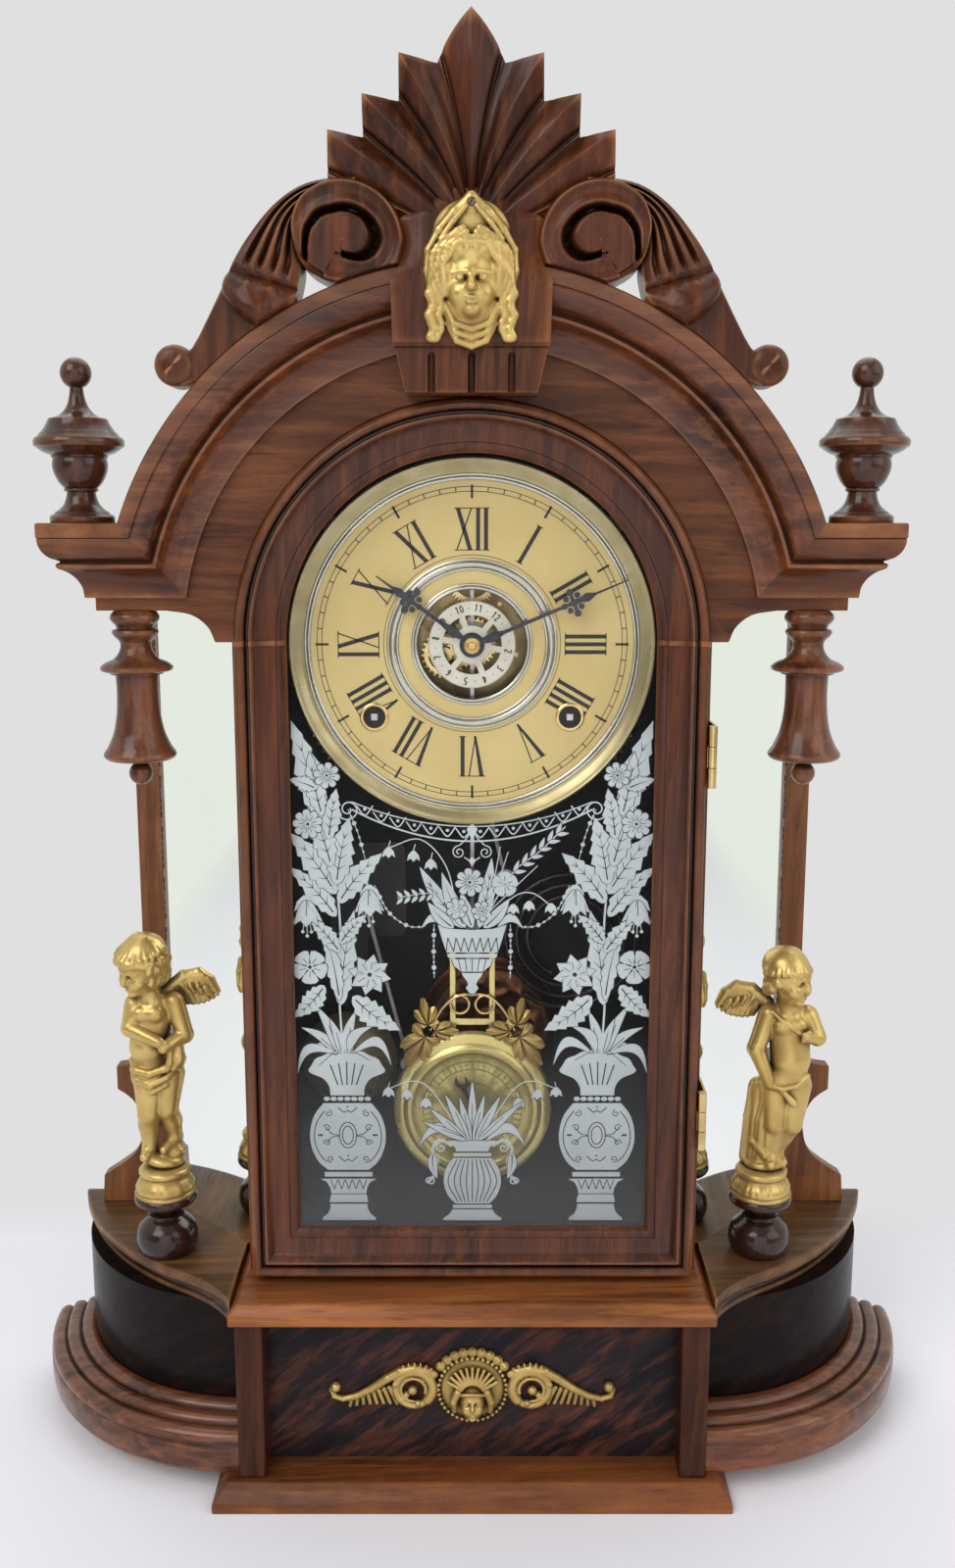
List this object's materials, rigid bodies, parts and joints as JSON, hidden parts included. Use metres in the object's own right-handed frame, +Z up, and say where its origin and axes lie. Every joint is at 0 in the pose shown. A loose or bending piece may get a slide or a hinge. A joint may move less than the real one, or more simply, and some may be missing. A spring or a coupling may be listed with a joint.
{
  "type": "mirror-sided parlour mantel clock",
  "caption": "Carved walnut mantel clock with mirrored niches, standing figures, an arched glazed door and a pendulum; the hands, wheels, strike and door move.",
  "frame": {"origin": "on the floor, under the middle of the base plinth", "axes": "+X to the viewer's right, +Y to the back (the dial faces -Y), +Z up"},
  "size_m": [0.426, 0.122, 0.616],
  "materials": {
    "walnut_carved": "dark reddish walnut, worn polish",
    "walnut_edge": "orange-brown walnut, worn polish",
    "walnut_veneer": "dark satin veneer",
    "ebonised_wood": "black polished wood",
    "mirror": "old silvered glass",
    "gilt_bronze": "worn gilding with dark recesses",
    "door_glass": "clear glass with a pale stencil",
    "dial_pan_paint": "dull gilt lacquer",
    "dial_paper": "aged cream printed paper",
    "brass": "lacquered",
    "plate_brass": "satin, tarnished",
    "steel": "satin steel",
    "blued_steel": "dark blued steel",
    "gong_wire": "dark blued steel wire",
    "gong_base": "copper-bronzed iron",
    "bell_metal": "dull nickelled bell metal",
    "bob_brass": "polished, worn"
  },
  "bodies": {
    "case": {"alarm_bell": "bell_metal", "alarm_bracket": "steel", "arch_moulding": "walnut_carved", "back_plate": "plate_brass", "backboard": "walnut_edge", "base_carcass": "walnut_veneer", "base_ledge": "walnut_carved", "base_mount": "gilt_bronze", "base_panel": "walnut_veneer", "base_pilasters": "walnut_carved", "base_plinth": "walnut_carved", "canopy_boards": "walnut_carved", "case_hinge_leaves": "brass", "case_roof": "walnut_carved", "case_sides": "walnut_carved", "cherub_left": "gilt_bronze", "cherub_right": "gilt_bronze", "cherub_socles": "ebonised_wood", "cornices": "walnut_carved", "crest_fan": "walnut_carved", "crest_mask": "gilt_bronze", "crest_scrolls": "walnut_carved", "dial_pan": "dial_pan_paint", "dial_paper": "dial_paper", "dial_rings": "brass", "face_board": "walnut_carved", "finials": "walnut_carved", "front_plate": "plate_brass", "gong_base": "gong_base", "gong_coil": "gong_wire", "keystone_block": "walnut_carved", "mirrors": "mirror", "movement_feet": "steel", "movement_pillars": "steel", "pendants": "walnut_carved", "wing_drums": "walnut_veneer", "wing_mouldings": "walnut_carved", "wing_tops": "walnut_edge"},
    "door": {"door_frame": "walnut_carved", "door_glass": "door_glass", "door_hinge_leaves": "brass"},
    "pendulum": {"pendulum_rod": "bob_brass", "pendulum_bob": "bob_brass"},
    "verge": {"verge": "steel"},
    "centre_arbor": {"centre_wheel": "brass", "minute_hand": "blued_steel"},
    "second_arbor": {"time_second_wheel": "brass"},
    "time_main": {"time_main_wheel": "brass"},
    "third_arbor": {"time_third_wheel": "brass"},
    "escape_arbor": {"escape_wheel": "brass"},
    "minute_wheel": {"minute_wheel": "brass"},
    "hour_pipe": {"hour_wheel": "brass", "hour_hand": "blued_steel"},
    "alarm_disc": {"alarm_disc": "brass"},
    "strike_main": {"strike_main_wheel": "brass"},
    "pin_wheel": {"strike_pin_wheel": "brass"},
    "fly": {"strike_fly": "brass"},
    "strike_hammer": {"strike_hammer": "steel"},
    "alarm_hammer": {"alarm_hammer": "steel"}
  },
  "joints": [
    {"name": "door_hinge", "type": "hinge", "parent": "case", "child": "door", "pos_m": [0.0996, -0.0365, 0.25], "axis": [0, 0, 1], "range_deg": [0, 110]},
    {"name": "pendulum_swing", "type": "hinge", "parent": "case", "child": "pendulum", "pos_m": [0, -0.009, 0.4244], "axis": [0, 1, 0], "range_deg": [-4, 4]},
    {"name": "verge_rock", "type": "hinge", "parent": "case", "child": "verge", "pos_m": [0, -0.0038, 0.42], "axis": [0, 1, 0], "range_deg": [-4, 4]},
    {"name": "minute_turn", "type": "hinge", "parent": "case", "child": "centre_arbor", "pos_m": [0, 0.0134, 0.378], "axis": [0, 1, 0], "continuous": true},
    {"name": "second_turn", "type": "hinge", "parent": "case", "child": "second_arbor", "pos_m": [0.01903, 0.009, 0.372], "axis": [0, 1, 0], "continuous": true},
    {"name": "time_main_turn", "type": "hinge", "parent": "case", "child": "time_main", "pos_m": [0.0417, 0.0048, 0.347], "axis": [0, 1, 0], "continuous": true},
    {"name": "third_turn", "type": "hinge", "parent": "case", "child": "third_arbor", "pos_m": [0.0118, 0.0176, 0.3939], "axis": [0, 1, 0], "continuous": true},
    {"name": "escape_turn", "type": "hinge", "parent": "case", "child": "escape_arbor", "pos_m": [0, -0.0038, 0.405], "axis": [0, 1, 0], "continuous": true},
    {"name": "minute_wheel_turn", "type": "hinge", "parent": "case", "child": "minute_wheel", "pos_m": [-0.01178, -0.0028, 0.37251], "axis": [0, 1, 0], "continuous": true},
    {"name": "hour_turn", "type": "hinge", "parent": "case", "child": "hour_pipe", "pos_m": [0, -0.0054, 0.378], "axis": [0, 1, 0], "continuous": true},
    {"name": "alarm_set", "type": "hinge", "parent": "hour_pipe", "child": "alarm_disc", "pos_m": [0, -0.016, 0.378], "axis": [0, 1, 0], "continuous": true},
    {"name": "strike_main_turn", "type": "hinge", "parent": "case", "child": "strike_main", "pos_m": [-0.0417, 0.0048, 0.347], "axis": [0, 1, 0], "continuous": true},
    {"name": "pin_wheel_turn", "type": "hinge", "parent": "case", "child": "pin_wheel", "pos_m": [-0.01903, 0.0202, 0.372], "axis": [0, 1, 0], "continuous": true},
    {"name": "fly_turn", "type": "hinge", "parent": "case", "child": "fly", "pos_m": [-0.0265, 0.0202, 0.3905], "axis": [0, 1, 0], "continuous": true},
    {"name": "strike_hammer_lift", "type": "hinge", "parent": "case", "child": "strike_hammer", "pos_m": [0, 0.032, 0.33], "axis": [0, 1, 0], "range_deg": [0, 14], "stiffness_Nm_per_rad": 0.02, "springref_deg": -5.73},
    {"name": "alarm_hammer_lift", "type": "hinge", "parent": "case", "child": "alarm_hammer", "pos_m": [-0.05, 0.032, 0.25], "axis": [0, -1, 0], "range_deg": [0, 6]}
  ],
  "couplings": [
    {"joint": "verge_rock", "follows": "pendulum_swing", "ratio": 1},
    {"joint": "second_turn", "follows": "minute_turn", "ratio": -0.16667},
    {"joint": "time_main_turn", "follows": "minute_turn", "ratio": 0.020833},
    {"joint": "third_turn", "follows": "minute_turn", "ratio": -10},
    {"joint": "escape_turn", "follows": "minute_turn", "ratio": 80},
    {"joint": "minute_wheel_turn", "follows": "minute_turn", "ratio": -0.33333},
    {"joint": "hour_turn", "follows": "minute_turn", "ratio": 0.083333},
    {"joint": "pin_wheel_turn", "follows": "strike_main_turn", "ratio": -8},
    {"joint": "fly_turn", "follows": "strike_main_turn", "ratio": 48}
  ]
}
